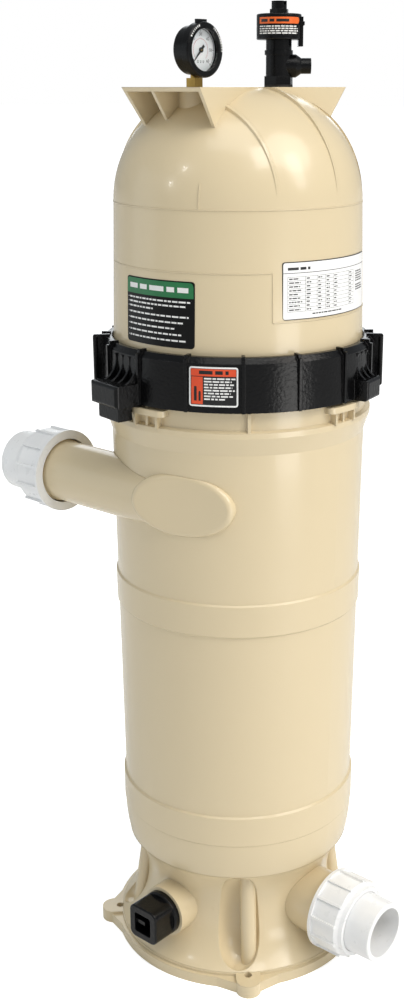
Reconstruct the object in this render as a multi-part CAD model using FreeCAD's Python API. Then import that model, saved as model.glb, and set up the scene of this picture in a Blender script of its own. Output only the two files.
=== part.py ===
import FreeCAD
import Part
import math
import os

from FreeCAD import Vector as V

# Cartridge filter housing for a pool: a moulded tank, a domed lid held by a
# turning lock ring, a pleated cartridge inside, two pipe unions, a drain plug,
# a pressure gauge and an air relief valve.
#
# Frame (mm): origin at the centre of the base, on the tank axis, +Z up.
# +X is the outlet side, -X the inlet side and -Y the drain side.

# ---- tank wall --------------------------------------------------------------
WALL = 6.5                     # wall of the moulded tank and lid
TANK_LOW_Z = 245.0             # the wall tapers between these two heights
TANK_LOW_R = 142.0
TANK_HIGH_Z = 665.0
TANK_HIGH_R = 146.5
BAND_R = 144.2                 # lower raised band
BAND_LOW_Z = 186.0
BAND_STEP = 0.9                # the bowl starts this far inside the lower band
BAND_TOP_Z = 225.0
MID_BAND_LOW_Z = 453.0         # upper raised band
MID_BAND_TOP_Z = 493.0
MID_BAND_RISE = 2.0
BOWL_CENTRE_R = 96.0           # knuckle of the bowl, an elliptical quarter
BOWL_DEPTH = 100.0
BOWL_END_Z = 141.0             # crease where the bowl meets the waist of the skirt
FLOOR_Z = 140.0                # inner floor
UNDERSIDE_Z = 131.0

# ---- base -------------------------------------------------------------------
FLANGE_R = 157.0
FLANGE_T = 13.0
WAIST_R = 117.0                # narrowest part of the skirt, at the waist height
WAIST_Z = 84.7
WAIST_ARC_R = 84.4             # radius of the skirt's concave side
SKIRT_FOOT_Z = 17.0
SKIRT_WALL = 6.0
LUG_ANGLES = (45.0, 135.0, 225.0, 315.0)
BOLT_CIRCLE_R = 155.0
BOLT_HOLE_R = 4.5
LUG_TIP_R = 178.0
LUG_HALF_WIDTH = 15.0
LUG_T = 16.0
COLUMN_R = 9.5                 # rounded column above each lug
COLUMN_TOP_R = 121.5
COLUMN_FOOT_R = 139.0
COLUMN_TOP_Z = 136.0
COLUMN_TURN = 1.5              # each column stands a little past its lug,
POCKET_TURN = -4.0             # and its pocket lies mostly on the other side
POCKET_OUT = 139.0             # egg-shaped hollow round each column
POCKET_R = 34.0
POCKET_Z = 78.0
POCKET_HALF_HEIGHT = 63.0

# ---- outlet, inlet and drain ------------------------------------------------
OUTLET_Z = 73.0
OUTLET_R = 40.0
PORT_BORE_R = 28.0
PORT_THREAD_R = 40.3
OUTLET_PORT_X = 184.0          # end of the threaded part of the port
THREAD_L = 29.0
INLET_Y = -122.0
INLET_Z = 602.5
INLET_R = 35.5
INLET_THREAD_R = 37.0
INLET_PORT_X = -197.0
INLET_BORE_END_X = -10.0
CAP_NORMAL = V(0.30, -0.954, 0)
CAP_CENTRE = V(38.5, -142.5, 604.5)
CAP_LONG_R = 61.5
CAP_SHORT_R = 36.4
DRAIN_Z = 73.0
DRAIN_R = 31.4
DRAIN_FACE_Y = -141.0
DRAIN_BORE_R = 20.0
DRAIN_WELL_Y = -88.0

# ---- pipe unions ------------------------------------------------------------
NUT_L = 46.0
NUT_R = 46.8
INLET_NUT_R = 45.8
NUT_RIB_RISE = 2.6
NUT_BORE_R = 41.8
INLET_NUT_BORE_R = 38.5
TAIL_R = 37.1
INLET_TAIL_R = 35.9
NUT_RIBS = 12
TAIL_FLANGE_T = 7.0
TAIL_L = 47.5                  # from the port face to the mouth
SOCKET_R = 30.3                # socket for a 60.3 mm pipe
SOCKET_L = 38.0
SEAL_GAP = 0.6
SEAL_INSET = 5.6               # from the nut's bore to the middle of the face seal

# ---- neck and lock ring -----------------------------------------------------
RIM_R = 153.0
RIM_LOW_Z = 685.0
RIM_TOP_Z = 691.0
COLLAR_R = 147.6
COLLAR_TOP_Z = 753.6
SHELF_R = 158.5
SHELF_LOW_Z = 704.0
SHELF_TOP_Z = 711.0
SHELF_HALF_ANGLE = 10.0
RING_LOW_Z = 714.0
RING_TOP_Z = 772.0
RING_R = 156.7
RING_SHOULDER_R = 155.2
RING_BORE_R = 150.0
RING_LIP_Z = 766.4
RING_LIP_R = 144.2
RING_RIBS = 16
RING_RIB_ANGLE = -2.4
LATCH_ANGLE = -101.25
LATCH_BLOCK_R = 185.0
LATCH_BLOCK_W = 51.0
LATCH_BLOCK_LOW_Z = 712.5
LATCH_BLOCK_TOP_Z = 737.0
STOP_ANGLE = 11.25
STOP_BLOCK_R = 171.5
STOP_BLOCK_W = 35.0
GRIP_ANGLES = (33.0, -130.0)   # radial fins that the hands push against
GRIP_R = 166.0
GRIP_TOP_Z = 774.5
PAWL_R_IN = 160.5
PAWL_R_OUT = 178.5
PAWL_W = 38.0
PAWL_LOW_Z = 696.0
PAWL_TOP_Z = 718.0
PAWL_ROOF_Z = 734.5            # roof of the cavity the pawl slides in
PAWL_CLEAR = 0.35

# ---- lid --------------------------------------------------------------------
LID_FLANGE_R = 149.0
LID_FLANGE_LOW_Z = 754.0
LID_FLANGE_TOP_Z = 765.4
LID_LOW_R = 142.2
LID_LOW_Z = 770.0
LID_HIGH_R = 138.2
LID_HIGH_Z = 920.0
DOME_CENTRE_R = 17.6
DOME_R = LID_HIGH_R - DOME_CENTRE_R
DOME_RIB_RISE = 3.6
DOME_RIB_SHIFT = 0.3
DOME_RIB_W = 3.2
DOME_RIB_YS = (-73.0, 0.0, 73.0)
HANDLE_TOP_Z = 1040.0
HANDLE_WAIST = 34.5
HANDLE_END = 55.0
HANDLE_REACH = 123.0
HANDLE_WALL = 4.0
HANDLE_ROOF_Z = 1035.5
HANDLE_FOOT_REACH = 94.0       # where the sloping end meets the dome
HANDLE_FOOT_Z = 999.0
LINE_RISE = 0.5                # fine moulded lines on the lid
LABEL_T = 0.4

# ---- gauge ------------------------------------------------------------------
GAUGE_Y = -70.0
GAUGE_Z = 1076.5
GAUGE_BACK_X = -8.5
GAUGE_FRONT_X = 12.6
GAUGE_R = 24.4
BEZEL_R = 27.5
BEZEL_BORE_R = 24.48
DIAL_X = 7.6
BOSS_R = 17.0
GAUGE_THREAD_R = 6.6

# ---- air relief valve -------------------------------------------------------
VALVE_Y = 70.0
VALVE_THREAD_R = 13.0
VALVE_R = 14.35
VALVE_BORE_R = 9.0
VALVE_TOP_Z = 1090.0
SPIGOT_Z = 1062.5
SPIGOT_ANGLE = 42.5
SPIGOT_R = 8.5
SPIGOT_REACH = 36.0
DRUM_R = 25.0
DRUM_TOP_Z = 1117.0
KNOB_TOP_Z = 1130.5
SEAT_Z = 1028.0                # seat that the plug closes on
PISTON_Z = 1070.5              # guide piston above the spigot
ROD_TOP_Z = 1123.5

# ---- cartridge --------------------------------------------------------------
CART_R = 127.0
CART_CORE_R = 44.0
CART_BORE_R = 40.0
CART_LOW_Z = 165.0
CART_TOP_Z = 925.0
CART_CAP_T = 20.0
PLEATS = 80
MEDIA_T = 9.0                 # radial set-off between the two faces of a fold
BAND_ZS = (340.0, 540.0, 740.0)
HUB_R = 37.0


# ---- helpers ----------------------------------------------------------------
def revolve(points):
    """Solid of revolution about Z from a closed (r, z) outline."""
    wire = Part.makePolygon([V(r, 0, z) for r, z in points] + [V(points[0][0], 0, points[0][1])])
    return Part.Face(wire).revolve(V(0, 0, 0), V(0, 0, 1), 360)


def cylinder(radius, start, direction, length):
    return Part.makeCylinder(radius, length, start, direction)


def tube(outer, inner, start, direction, length):
    return cylinder(outer, start, direction, length).cut(cylinder(inner, start, direction, length))


def box(low, high):
    return Part.makeBox(high[0] - low[0], high[1] - low[1], high[2] - low[2], V(*low))


def rounded_box(low, high, radius):
    """Box with its four upright edges rounded."""
    body = box(low, high)
    upright = [e for e in body.Edges if abs(e.tangentAt(e.FirstParameter).z) > 0.99]
    return body.makeFillet(radius, upright)


def turned(shape, angle):
    """Copy of a shape turned about the tank axis."""
    copy = shape.copy()
    copy.rotate(V(0, 0, 0), V(0, 0, 1), angle)
    return copy


def polar(radius, angle, z):
    a = math.radians(angle)
    return V(radius * math.cos(a), radius * math.sin(a), z)


def sector(r_in, r_out, z_low, z_high, start, end):
    """Part of a ring between two polar angles."""
    face = Part.makePolygon([V(r_in, 0, z_low), V(r_out, 0, z_low), V(r_out, 0, z_high),
                             V(r_in, 0, z_high), V(r_in, 0, z_low)])
    body = Part.Face(face).revolve(V(0, 0, 0), V(0, 0, 1), end - start)
    return turned(body, start)


def lathe_x(points, start, direction):
    """Solid of revolution from (distance along the axis, radius) points."""
    outline = [V(r, 0, d) for d, r in points]
    body = Part.Face(Part.makePolygon(outline + [outline[0]])).revolve(V(0, 0, 0), V(0, 0, 1), 360)
    body.Placement = FreeCAD.Placement(start, FreeCAD.Rotation(V(0, 0, 1), direction))
    return body


def ring_seal(centre, axis, radius, cord_r):
    return Part.makeTorus(radius, cord_r, centre, axis)


def fuse_all(shapes):
    return shapes[0].multiFuse(shapes[1:]).removeSplitter()


def join(body, shapes):
    """Adds shapes one after the other, which stays exact where many surfaces meet."""
    for shape in shapes:
        body = body.fuse(shape)
    return body


def carve(body, shapes):
    """Removes shapes one after the other."""
    for shape in shapes:
        body = body.cut(shape)
    return body


def export(name, shape):
    shape.exportStep("parts/%s.step" % name)
    print(name, shape.isValid(), len(shape.Solids), round(shape.Volume / 1000.0, 1))


# ---- tank -------------------------------------------------------------------
def tank_r(z):
    """Outer radius of the tapered tank wall."""
    share = (z - TANK_LOW_Z) / (TANK_HIGH_Z - TANK_LOW_Z)
    return TANK_LOW_R + share * (TANK_HIGH_R - TANK_LOW_R)


def bowl_points(half_width, depth, low_z, steps=10):
    """Elliptical knuckle of the bowl from low_z up to the lower band."""
    low = math.acos((BAND_LOW_Z - low_z) / depth)
    points = []
    for i in range(steps + 1):
        a = low + (math.pi / 2 - low) * i / steps
        points.append((BOWL_CENTRE_R + half_width * math.sin(a), BAND_LOW_Z - depth * math.cos(a)))
    return points


def tank_outline():
    bowl = bowl_points(BAND_R - BAND_STEP - BOWL_CENTRE_R, BOWL_DEPTH, BOWL_END_Z)
    bands = [(BAND_R, BAND_LOW_Z + BAND_STEP), (BAND_R, BAND_TOP_Z - 2), (tank_r(BAND_TOP_Z), BAND_TOP_Z),
             (tank_r(MID_BAND_LOW_Z), MID_BAND_LOW_Z),
             (tank_r(MID_BAND_LOW_Z) + MID_BAND_RISE, MID_BAND_LOW_Z + 2),
             (tank_r(MID_BAND_TOP_Z) + MID_BAND_RISE, MID_BAND_TOP_Z - 2),
             (tank_r(MID_BAND_TOP_Z), MID_BAND_TOP_Z)]
    neck = [(TANK_HIGH_R, TANK_HIGH_Z), (RIM_R, RIM_LOW_Z), (RIM_R, RIM_TOP_Z),
            (COLLAR_R, RIM_TOP_Z + 2), (COLLAR_R, COLLAR_TOP_Z)]
    under = [(0, UNDERSIDE_Z), (waist_r(UNDERSIDE_Z, SKIRT_WALL) + 2, UNDERSIDE_Z)]
    return under + bowl + bands + neck + [(0, COLLAR_TOP_Z)]


def tank_hollow():
    bowl = bowl_points(BAND_R - WALL - BOWL_CENTRE_R, BAND_LOW_Z - FLOOR_Z, FLOOR_Z)
    top = COLLAR_TOP_Z + 1
    return revolve([(0, FLOOR_Z)] + bowl + [(TANK_LOW_R - WALL, TANK_LOW_Z), (COLLAR_R - 8, TANK_HIGH_Z),
                                            (COLLAR_R - 8, top), (0, top)])


def waist_r(z, inset=0.0):
    """Radius of the skirt's concave side, or of its inner face for an inset."""
    radius = WAIST_ARC_R + inset
    return WAIST_R + WAIST_ARC_R - math.sqrt(radius ** 2 - (z - WAIST_Z) ** 2)


def waisted_solid(inset, top_z, low_z):
    """Solid of revolution with the skirt's concave side, straight below its foot."""
    top = V(waist_r(top_z, inset), 0, top_z)
    middle = V(WAIST_R - inset, 0, WAIST_Z)
    foot = V(waist_r(SKIRT_FOOT_Z, inset), 0, SKIRT_FOOT_Z)
    line = [foot, V(foot.x, 0, low_z), V(0, 0, low_z), V(0, 0, top_z), top]
    edges = [Part.Arc(top, middle, foot).toShape()] + [Part.makeLine(a, b) for a, b in zip(line, line[1:])]
    return Part.Face(Part.Wire(edges)).revolve(V(0, 0, 0), V(0, 0, 1), 360)


def pocket(angle, extra):
    """Egg-shaped scoop round a column; extra grows it into the lining behind it."""
    ellipse = Part.Ellipse(V(0, 0, 0), POCKET_HALF_HEIGHT + extra, POCKET_R + extra)
    arc = Part.Edge(ellipse, math.pi, 2 * math.pi)
    arc.rotate(V(0, 0, 0), V(0, 1, 0), 90)
    arc.rotate(V(0, 0, 0), V(0, 0, 1), 90)
    ends = [v.Point for v in arc.Vertexes]
    wire = Part.Wire([arc, Part.makeLine(ends[1], ends[0])])
    egg = Part.Face(wire).revolve(V(0, 0, 0), V(0, 0, 1), 360)
    egg.translate(V(POCKET_OUT, 0, POCKET_Z))
    return turned(egg, angle + POCKET_TURN)


def skirt():
    """Waisted skirt with a hollow underside and a lined pocket at each column."""
    outer = waisted_solid(0.0, BOWL_END_Z, 0.0)
    shell = outer.cut(waisted_solid(SKIRT_WALL, UNDERSIDE_Z, -1.0))
    for angle in LUG_ANGLES:
        shell = shell.fuse(pocket(angle, SKIRT_WALL).common(outer)).cut(pocket(angle, 0.0))
    return shell


def base_flange():
    foot_r = waist_r(SKIRT_FOOT_Z)
    disc = tube(FLANGE_R, foot_r - 8, V(0, 0, 0), V(0, 0, 1), FLANGE_T)
    plate = disc.fuse(tube(foot_r + 1.5, foot_r - 8, V(0, 0, FLANGE_T), V(0, 0, 1), 3))
    lugs = []
    for angle in LUG_ANGLES:
        tip = LUG_TIP_R - LUG_HALF_WIDTH
        lug = box((120, -LUG_HALF_WIDTH, 0), (tip, LUG_HALF_WIDTH, LUG_T))
        lug = lug.fuse(cylinder(LUG_HALF_WIDTH, V(tip, 0, 0), V(0, 0, 1), LUG_T))
        web = Part.makePolygon([V(118, -50, 0), V(150, -42, 0), V(166, -14, 0), V(166, 14, 0),
                                V(150, 42, 0), V(118, 50, 0), V(118, -50, 0)])
        lug = lug.fuse(Part.Face(web).extrude(V(0, 0, FLANGE_T)))
        lugs.append(turned(lug, angle))
    return plate.multiFuse(lugs)


def columns():
    """Rounded columns that stand in the pockets and lean out towards the foot."""
    made = []
    for angle in LUG_ANGLES:
        top = V(COLUMN_TOP_R - COLUMN_R, 0, COLUMN_TOP_Z)
        foot = V(COLUMN_FOOT_R - COLUMN_R, 0, FLANGE_T - 2)
        rod = cylinder(COLUMN_R, foot, top - foot, (top - foot).Length)
        web = Part.makePolygon([V(104, 0, top.z - 4), V(top.x, 0, top.z - 4), foot, V(104, 0, foot.z),
                                V(104, 0, top.z - 4)])
        plate = Part.Face(web).extrude(V(0, 2 * COLUMN_R - 2, 0))
        plate.translate(V(0, 1 - COLUMN_R, 0))
        made.append(turned(rod.fuse(plate), angle + COLUMN_TURN))
    return made


def outlet_port():
    axis = V(1, 0, 0)
    pipe = cylinder(OUTLET_R, V(0, 0, OUTLET_Z), axis, OUTLET_PORT_X - THREAD_L)
    thread = cylinder(PORT_THREAD_R, V(OUTLET_PORT_X - THREAD_L, 0, OUTLET_Z), axis, THREAD_L)
    hub = cylinder(OUTLET_R, V(0, 0, OUTLET_Z), V(0, 0, 1), UNDERSIDE_Z - OUTLET_Z)
    ball = Part.makeSphere(OUTLET_R, V(0, 0, OUTLET_Z))
    return [pipe, thread, hub, ball]


def outlet_bores():
    across = cylinder(PORT_BORE_R, V(0, 0, OUTLET_Z), V(1, 0, 0), OUTLET_PORT_X + 1)
    up = cylinder(PORT_BORE_R, V(0, 0, OUTLET_Z), V(0, 0, 1), 80)
    seat = cylinder(HUB_R - 4, V(0, 0, FLOOR_Z), V(0, 0, 1), 40)
    return [across, up, seat, Part.makeSphere(PORT_BORE_R, V(0, 0, OUTLET_Z))]


def inlet_port():
    """Pipe that meets the tank off its axis, closed by a flat oval cap."""
    axis = V(1, 0, 0)
    pipe = cylinder(INLET_R, V(INLET_PORT_X, INLET_Y, INLET_Z), axis, INLET_BORE_END_X - INLET_PORT_X)
    thread = cylinder(INLET_THREAD_R, V(INLET_PORT_X, INLET_Y, INLET_Z), axis, THREAD_L)
    return [pipe, thread, oval_boss(0.0)]


def oval_boss(inset):
    """Oval prism behind the cap face, shrunk all round by an inset."""
    ellipse = Part.Ellipse(V(0, 0, 0), CAP_LONG_R - inset, CAP_SHORT_R - inset)
    face = Part.Face(Part.Wire(ellipse.toShape()))
    body = face.extrude(V(0, 0, -(75 - inset)))
    if inset == 0.0:
        rim = [e for e in body.Edges if abs(e.BoundBox.ZMax) < 0.01 and abs(e.BoundBox.ZMin) < 0.01]
        body = body.makeFillet(6.0, rim)
    turn = FreeCAD.Rotation(V(0.954, 0.30, 0), V(0, 0, 1), CAP_NORMAL, "ZXY")
    normal = V(CAP_NORMAL)
    normal.normalize()
    body.Placement = FreeCAD.Placement(CAP_CENTRE - normal * inset, turn)
    return body


def inlet_bores():
    length = INLET_BORE_END_X - INLET_PORT_X
    bore = cylinder(PORT_BORE_R, V(INLET_PORT_X - 1, INLET_Y, INLET_Z), V(1, 0, 0), length)
    return [bore, oval_boss(7.0)]


def drain_port():
    inner_y = DRAIN_WELL_Y + 18
    boss = cylinder(DRAIN_R, V(0, inner_y, DRAIN_Z), V(0, -1, 0), inner_y - DRAIN_FACE_Y)
    riser = cylinder(18.0, V(0, DRAIN_WELL_Y, DRAIN_Z), V(0, 0, 1), FLOOR_Z - 4 - DRAIN_Z)
    return [boss, riser]


def drain_bores():
    mouth = cylinder(DRAIN_BORE_R, V(0, DRAIN_FACE_Y - 1, DRAIN_Z), V(0, 1, 0), 40)
    passage = cylinder(12.0, V(0, DRAIN_FACE_Y, DRAIN_Z), V(0, 1, 0), DRAIN_WELL_Y + 10 - DRAIN_FACE_Y)
    well = cylinder(12.0, V(0, DRAIN_WELL_Y, DRAIN_Z), V(0, 0, 1), FLOOR_Z + 4 - DRAIN_Z)
    return [mouth, passage, well]


def neck_ribs():
    ribs = []
    for i in range(8):
        rib = box((COLLAR_R - 3, -1.8, RIM_TOP_Z - 1), (RIM_R - 1, 1.8, RING_LOW_Z - 1.5))
        ribs.append(turned(rib, 45.0 * i))
    return ribs


def shelf_tabs():
    """Four rounded shelves under the lock ring, each carried by two small ribs."""
    tabs = []
    for i in range(4):
        shelf = sector(COLLAR_R - 2, SHELF_R, SHELF_LOW_Z, SHELF_TOP_Z,
                       -SHELF_HALF_ANGLE, SHELF_HALF_ANGLE)
        ends = [e for e in shelf.Edges if e.Length < 7.5 and e.CenterOfMass.Length > 0
                and math.hypot(e.CenterOfMass.x, e.CenterOfMass.y) > SHELF_R - 1]
        shelf = shelf.makeFillet(7.0, ends)
        for side in (-6.0, 6.0):
            rib = box((COLLAR_R - 2, -1.5, RIM_TOP_Z - 1), (SHELF_R - 3, 1.5, SHELF_LOW_Z + 1))
            shelf = shelf.fuse(turned(rib, side))
        tabs.append(turned(shelf, 90.0 * i))
    return tabs


def lower_tank():
    body = join(revolve(tank_outline()), [skirt(), base_flange()] + columns())
    body = join(body, drain_port() + neck_ribs() + shelf_tabs())
    hub_inside = cylinder(HUB_R, V(0, 0, FLOOR_Z - 5), V(0, 0, 1), 17)
    body = body.cut(tank_hollow()).fuse(hub_inside).cut(fuse_all(outlet_port()))
    holes = [cylinder(BOLT_HOLE_R, polar(BOLT_CIRCLE_R, a, -1), V(0, 0, 1), LUG_T + 12)
             for a in LUG_ANGLES]
    groove = tube(COLLAR_R - 1.1, COLLAR_R - 6.9, V(0, 0, COLLAR_TOP_Z - 5.2), V(0, 0, 1), 6)
    return carve(body, outlet_bores() + inlet_bores() + drain_bores() + holes + [groove])


def outlet_elbow():
    """Elbow that leads from the middle of the tank floor out through the skirt."""
    return carve(fuse_all(outlet_port()), outlet_bores())


def inlet_fitting():
    """Pipe and oval end box, welded to the outside of the tank wall."""
    return carve(fuse_all(inlet_port()).cut(revolve(tank_outline())), inlet_bores())


# ---- inside the tank --------------------------------------------------------
def standpipe():
    seat_r = HUB_R - 4
    body = cylinder(seat_r, V(0, 0, FLOOR_Z), V(0, 0, 1), 90)
    collar_z = FLOOR_Z + 12
    body = body.fuse(cylinder(CART_BORE_R + 4, V(0, 0, collar_z), V(0, 0, 1), CART_LOW_Z - collar_z))
    body = body.cut(cylinder(seat_r - 4.5, V(0, 0, FLOOR_Z - 1), V(0, 0, 1), 100))
    groove = tube(seat_r + 1, seat_r - 2.4, V(0, 0, CART_LOW_Z + 8), V(0, 0, 1), 4.6)
    spider = box((-seat_r + 2, -2, FLOOR_Z + 60), (seat_r - 2, 2, FLOOR_Z + 72))
    spider = spider.fuse(turned(spider, 90)).fuse(cylinder(9, V(0, 0, FLOOR_Z + 60), V(0, 0, 1), 14))
    spider = spider.cut(cylinder(6.0, V(0, 0, FLOOR_Z + 50), V(0, 0, 1), 60))
    return body.cut(groove).fuse(spider)


def end_cap(low_z, hole_r, recess_from):
    """Moulded end cap of the cartridge with a grooved face."""
    cap = tube(CART_R, hole_r, V(0, 0, low_z), V(0, 0, 1), CART_CAP_T)
    face_z = low_z if recess_from == "below" else low_z + CART_CAP_T - 3
    for radius in (60.0, 85.0, 110.0):
        cap = cap.cut(tube(radius + 4, radius - 4, V(0, 0, face_z), V(0, 0, 1), 3))
    return cap


def cartridge_media():
    """One sheet folded into deep pleats between the core and the outer edge."""
    outer = []
    inner = []
    for i in range(PLEATS):
        tip = 360.0 * i / PLEATS
        valley = tip + 180.0 / PLEATS
        outer += [polar(CART_R - 1.5, tip, 0), polar(CART_CORE_R + 1 + MEDIA_T, valley, 0)]
        inner += [polar(CART_R - 1.5 - MEDIA_T, tip, 0), polar(CART_CORE_R + 1, valley, 0)]
    hole = Part.Face(Part.makePolygon(inner + [inner[0]]))
    sheet = Part.Face(Part.makePolygon(outer + [outer[0]])).cut(hole)
    low = CART_LOW_Z + CART_CAP_T
    sheet.translate(V(0, 0, low))
    return sheet.extrude(V(0, 0, CART_TOP_Z - CART_CAP_T - low))


def cartridge_core():
    low = CART_LOW_Z + CART_CAP_T
    body = tube(CART_CORE_R, CART_BORE_R, V(0, 0, low), V(0, 0, 1), CART_TOP_Z - CART_CAP_T - low)
    slots = []
    rows = 14
    pitch = (CART_TOP_Z - CART_CAP_T - low) / rows
    for row in range(rows):
        z = low + pitch * (row + 0.5)
        for i in range(4):
            slots.append(turned(box((-60, -6, z - 17), (60, 6, z + 17)), 45.0 * i))
    return body.cut(Part.makeCompound(slots))


def cartridge_bands():
    bands = [tube(CART_R + 0.5, CART_R - 1.5, V(0, 0, z), V(0, 0, 1), 14) for z in BAND_ZS]
    return Part.makeCompound(bands)


def air_bleed_tube():
    low = FLOOR_Z + 58
    return tube(6.0, 4.0, V(0, 0, low), V(0, 0, 1), CART_TOP_Z + 30 - low)


def bleed_strainer():
    top = CART_TOP_Z + 34
    body = cylinder(9.5, V(0, 0, top - 34), V(0, 0, 1), 34)
    body = body.cut(cylinder(6.0, V(0, 0, top - 35), V(0, 0, 1), 31))
    slots = [turned(box((-15, -1, top - 26 + 6 * k), (15, 1, top - 23 + 6 * k)), 30.0 * i)
             for i in range(6) for k in range(3)]
    ring = tube(12, 6, V(0, 0, top - 26), V(0, 0, 1), 22)
    windows = Part.makeCompound(slots).common(ring)
    return body.cut(windows)


# ---- lid --------------------------------------------------------------------
def lid_r(z):
    """Outer radius of the tapered lid wall."""
    share = (z - LID_LOW_Z) / (LID_HIGH_Z - LID_LOW_Z)
    return LID_LOW_R + share * (LID_HIGH_R - LID_LOW_R)


def dome(inset, shift_r=0.0, rise=0.0):
    """Solid inside the lid's outer surface, moved in by an inset."""
    radius = DOME_R - inset
    centre = V(DOME_CENTRE_R - shift_r, 0, LID_HIGH_Z + rise)
    edge_r = centre.x + radius
    start = V(edge_r, 0, centre.z)
    middle = centre + V(radius * math.sin(math.pi / 4), 0, radius * math.cos(math.pi / 4))
    crown = centre + V(0, 0, radius)
    low_r = lid_r(LID_FLANGE_LOW_Z) - inset - shift_r
    low_z = LID_FLANGE_LOW_Z - (1.0 if inset else 0.0)
    edges = [Part.Arc(start, middle, crown).toShape(), Part.makeLine(crown, V(0, 0, crown.z)),
             Part.makeLine(V(0, 0, crown.z), V(0, 0, low_z)),
             Part.makeLine(V(0, 0, low_z), V(low_r, 0, low_z)),
             Part.makeLine(V(low_r, 0, low_z), start)]
    return Part.Face(Part.Wire(edges)).revolve(V(0, 0, 0), V(0, 0, 1), 360)


def bow_tie(inset, low_z, high_z, reach):
    """Upright prism of the handle's outline, wide at both ends and narrow in the middle."""
    slope = (HANDLE_END - HANDLE_WAIST) / HANDLE_REACH
    waist = HANDLE_WAIST - inset
    end = HANDLE_WAIST + slope * reach - inset
    points = [V(waist, 0, low_z), V(end, reach, low_z), V(-end, reach, low_z),
              V(-waist, 0, low_z), V(-end, -reach, low_z), V(end, -reach, low_z)]
    return Part.Face(Part.makePolygon(points + [points[0]])).extrude(V(0, 0, high_z - low_z))


def end_slope(inset):
    """Wedge that trims both handle ends back towards the dome as they go down."""
    run = HANDLE_REACH - HANDLE_FOOT_REACH
    drop = HANDLE_TOP_Z - HANDLE_FOOT_Z
    top_y = HANDLE_REACH - inset
    low_y = HANDLE_REACH - run * 2 - inset
    low_z = HANDLE_TOP_Z - drop * 2
    side = [V(-80, top_y, HANDLE_TOP_Z), V(-80, top_y + 60, HANDLE_TOP_Z), V(-80, top_y + 60, low_z),
            V(-80, low_y, low_z)]
    wedge = Part.Face(Part.makePolygon(side + [side[0]])).extrude(V(160, 0, 0))
    return wedge.fuse(turned(wedge, 180))


def handle():
    body = bow_tie(0.0, 960.0, HANDLE_TOP_Z, HANDLE_REACH).cut(end_slope(0.0))
    hollow = bow_tie(HANDLE_WALL, 940.0, HANDLE_ROOF_Z, HANDLE_REACH + 20)
    divider = box((-15, -HANDLE_REACH, 940), (-11, HANDLE_REACH, HANDLE_ROOF_Z))
    return body.cut(hollow.cut(divider))


def dome_ribs():
    envelope = dome(0.0, DOME_RIB_SHIFT, DOME_RIB_RISE)
    ribs = []
    for y in DOME_RIB_YS:
        slab = box((-150, y - DOME_RIB_W / 2, 930), (150, y + DOME_RIB_W / 2, HANDLE_TOP_Z))
        ribs.append(envelope.common(slab))
    return ribs


def cone_band(rise, low_z, high_z, start, end, clear=0.0):
    """Thin shell that follows the lid wall between two heights and two angles."""
    wire = Part.makePolygon([V(lid_r(low_z) - clear, 0, low_z), V(lid_r(low_z) + rise, 0, low_z),
                             V(lid_r(high_z) + rise, 0, high_z), V(lid_r(high_z) - clear, 0, high_z),
                             V(lid_r(low_z) - clear, 0, low_z)])
    return turned(Part.Face(wire).revolve(V(0, 0, 0), V(0, 0, 1), end - start), start)


def moulded_lines():
    """Fine raised lines: round the foot of the dome and stepping down below it."""
    width = 1.2
    rise = LINE_RISE
    runs = [(857.0, -128.0, -34.5), (806.0, -34.5, 60.0), (920.5, -180.0, 180.0)]
    lines = [cone_band(rise, z - width / 2, z + width / 2, a, b, 1.0) for z, a, b in runs]
    lines.append(cone_band(rise, 806.0, 857.0, -34.9, -34.4, 1.0))
    return lines


def lid():
    outer = dome(0.0)
    flange_t = LID_FLANGE_TOP_Z - LID_FLANGE_LOW_Z
    flange = tube(LID_FLANGE_R, 130, V(0, 0, LID_FLANGE_LOW_Z), V(0, 0, 1), flange_t)
    bosses = [cylinder(BOSS_R, V(0, GAUGE_Y, 1010), V(0, 0, 1), HANDLE_TOP_Z - 1010),
              cylinder(BOSS_R + 3, V(0, VALVE_Y, 1010), V(0, 0, 1), HANDLE_TOP_Z - 1010)]
    body = outer.multiFuse([flange, handle()] + bosses + dome_ribs() + moulded_lines())
    seam = Part.makeBox(1.2, 8, 46, V(54.4, -132, 921)).common(dome(-LINE_RISE))
    body = body.fuse(seam)
    inside_bosses = [cylinder(BOSS_R, V(0, GAUGE_Y, 1006), V(0, 0, 1), 20),
                     cylinder(BOSS_R + 3, V(0, VALVE_Y, 1006), V(0, 0, 1), 20)]
    body = body.cut(dome(WALL)).multiFuse(inside_bosses)
    holes = [cylinder(GAUGE_THREAD_R, V(0, GAUGE_Y, 990), V(0, 0, 1), 60),
             cylinder(VALVE_THREAD_R, V(0, VALVE_Y, 990), V(0, 0, 1), 60)]
    return body.cut(Part.makeCompound(holes)).removeSplitter()


def wall_label(low_z, high_z, start, end, corner):
    """Label with rounded corners that follows the lid wall."""
    shell = cone_band(LABEL_T, low_z, high_z, start, end)
    half = lid_r((low_z + high_z) / 2) * math.sin(math.radians((end - start) / 2))
    window = rounded_box((-half, low_z, 0), (half, high_z, 200), corner)
    window.rotate(V(0, 0, 0), V(1, 0, 0), 90)
    window = turned(window, (start + end) / 2 + 90)
    return shell.common(window)


# ---- lock ring --------------------------------------------------------------
def block(r_in, r_out, width, low_z, high_z, corner, angle):
    """Radial block with rounded outer corners, set at a polar angle."""
    body = box((r_in, -width / 2, low_z), (r_out, width / 2, high_z))
    outer = [e for e in body.Edges if e.CenterOfMass.x > r_out - 0.01]
    return turned(body.makeFillet(corner, outer), angle)


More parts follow.
